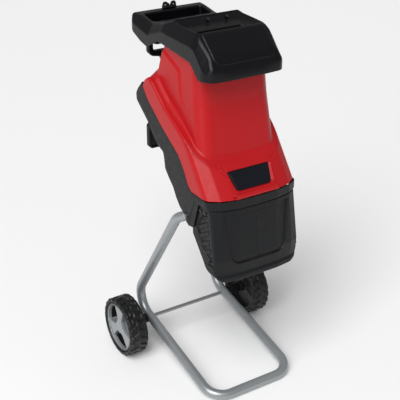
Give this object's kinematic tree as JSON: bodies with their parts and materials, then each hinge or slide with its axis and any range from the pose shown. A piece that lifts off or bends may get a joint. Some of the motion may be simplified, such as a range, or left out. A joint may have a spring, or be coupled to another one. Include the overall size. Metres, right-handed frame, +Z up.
{
  "type": "garden shredder",
  "caption": "Upright electric knife shredder with a tall tilting feed hopper, gear-driven knife disc, front discharge chute and a bent tube stand on wheels.",
  "frame": {"origin": "on the floor, in the middle of the overall width and depth", "axes": "+Z up, +X to the side with the switch unit, +Y to the rear with the handle and wheels, -Y to the front with the chute"},
  "size_m": [0.44, 0.429, 0.915],
  "materials": {
    "tube": "silver-grey powder coat, satin",
    "steel": "zinc-plated steel",
    "black_plastic": "moulded polypropylene, satin",
    "cap_plastic": "smooth moulded plastic, satin sheen",
    "red_plastic": "moulded ABS, satin gloss",
    "cover_silver": "silver-painted plastic, satin",
    "rim_black": "moulded plastic",
    "tyre_black": "moulded tread, dull",
    "badge": "blank gloss plate",
    "green_button": "gloss",
    "red_button": "gloss",
    "cast_alloy": "as cast",
    "knife_steel": "ground tool steel",
    "dark_steel": "blackened steel",
    "brass": "machined",
    "gear_brass": "hobbed gear",
    "copper_winding": "enamelled copper and laminations",
    "inner_plastic": "moulded plastic",
    "pale_plastic": "moulded plastic"
  },
  "bodies": {
    "base": {"frame_tube": "tube", "wheel_axle": "steel", "axle_spacers": "black_plastic", "axle_nuts": "steel", "motor_housing": "black_plastic", "motor_cover": "black_plastic", "motor_cover_screws": "steel", "discharge_chute": "black_plastic", "chute_screws": "dark_steel", "frame_bolts": "steel", "frame_nuts": "steel", "hinge_pin": "steel", "lock_nut": "brass", "tamper_clip": "black_plastic", "switch_housing": "inner_plastic", "inlet_pins": "brass", "interlock_switch": "inner_plastic", "cutting_chamber": "cast_alloy", "counter_plate": "knife_steel", "counter_plate_screws": "steel", "gear_plate": "cast_alloy", "gear_plate_screws": "steel", "stator": "dark_steel", "brush_holders": "pale_plastic", "spindle_bearings": "steel", "rotor_bearings": "steel"},
    "wheel_left": {"wheel_rim_left": "rim_black", "tyre_left": "tyre_black", "wheel_cover_left": "cover_silver"},
    "wheel_right": {"wheel_rim_right": "rim_black", "tyre_right": "tyre_black", "wheel_cover_right": "cover_silver"},
    "hopper": {"upper_housing": "red_plastic", "hopper_cap": "cap_plastic", "cap_screws": "dark_steel", "feed_channel": "inner_plastic", "badge_plate": "badge", "cable_hook": "black_plastic"},
    "lock": {"lock_knob": "black_plastic", "lock_stud": "steel"},
    "tamper": {"tamper": "black_plastic"},
    "start_button": {"start_button": "green_button"},
    "stop_button": {"stop_button": "red_button"},
    "reset_button": {"reset_button": "inner_plastic"},
    "interlock_plunger": {"interlock_plunger": "pale_plastic"},
    "cutter": {"cutter_disc": "knife_steel", "knives": "knife_steel", "knife_screws": "dark_steel", "disc_nut": "dark_steel", "spindle": "steel", "drive_gear": "gear_brass"},
    "rotor": {"pinion": "gear_brass", "rotor_shaft": "steel", "rotor_core": "copper_winding", "cooling_fan": "inner_plastic"}
  },
  "joints": [
    {"name": "wheel_left_spin", "type": "hinge", "parent": "base", "child": "wheel_left", "pos_m": [-0.194, 0.117, 0.08], "axis": [1, 0, 0], "continuous": true},
    {"name": "wheel_right_spin", "type": "hinge", "parent": "base", "child": "wheel_right", "pos_m": [0.194, 0.117, 0.08], "axis": [1, 0, 0], "continuous": true},
    {"name": "hopper_tilt", "type": "hinge", "parent": "base", "child": "hopper", "pos_m": [0, -0.193, 0.5525], "axis": [1, 0, 0], "range_deg": [0, 60]},
    {"name": "lock_knob_turn", "type": "hinge", "parent": "hopper", "child": "lock", "pos_m": [0, 0.139, 0.752], "axis": [0, -0.5151, 0.8572], "continuous": true},
    {"name": "tamper_pull", "type": "slide", "parent": "base", "child": "tamper", "axis": [0, 1, 0], "range_m": [0, 0.25]},
    {"name": "start_press", "type": "slide", "parent": "base", "child": "start_button", "axis": [-1, 0, 0], "range_m": [0, 0.003], "stiffness_N_per_m": 800},
    {"name": "stop_press", "type": "slide", "parent": "base", "child": "stop_button", "axis": [-1, 0, 0], "range_m": [0, 0.003], "stiffness_N_per_m": 800},
    {"name": "reset_press", "type": "slide", "parent": "base", "child": "reset_button", "axis": [-1, 0, 0], "range_m": [0, 0.002], "stiffness_N_per_m": 800},
    {"name": "interlock_press", "type": "slide", "parent": "base", "child": "interlock_plunger", "axis": [0, 0.5962, -0.8028], "range_m": [0, 0.002], "stiffness_N_per_m": 500},
    {"name": "cutter_spin", "type": "hinge", "parent": "base", "child": "cutter", "pos_m": [0, -0.00332, 0.62265], "axis": [0, -0.5962, 0.8028], "continuous": true},
    {"name": "rotor_spin", "type": "hinge", "parent": "base", "child": "rotor", "pos_m": [0, 0.07993, 0.59106], "axis": [0, -0.5962, 0.8028], "continuous": true}
  ],
  "couplings": [
    {"joint": "rotor_spin", "follows": "cutter_spin", "ratio": -3}
  ]
}
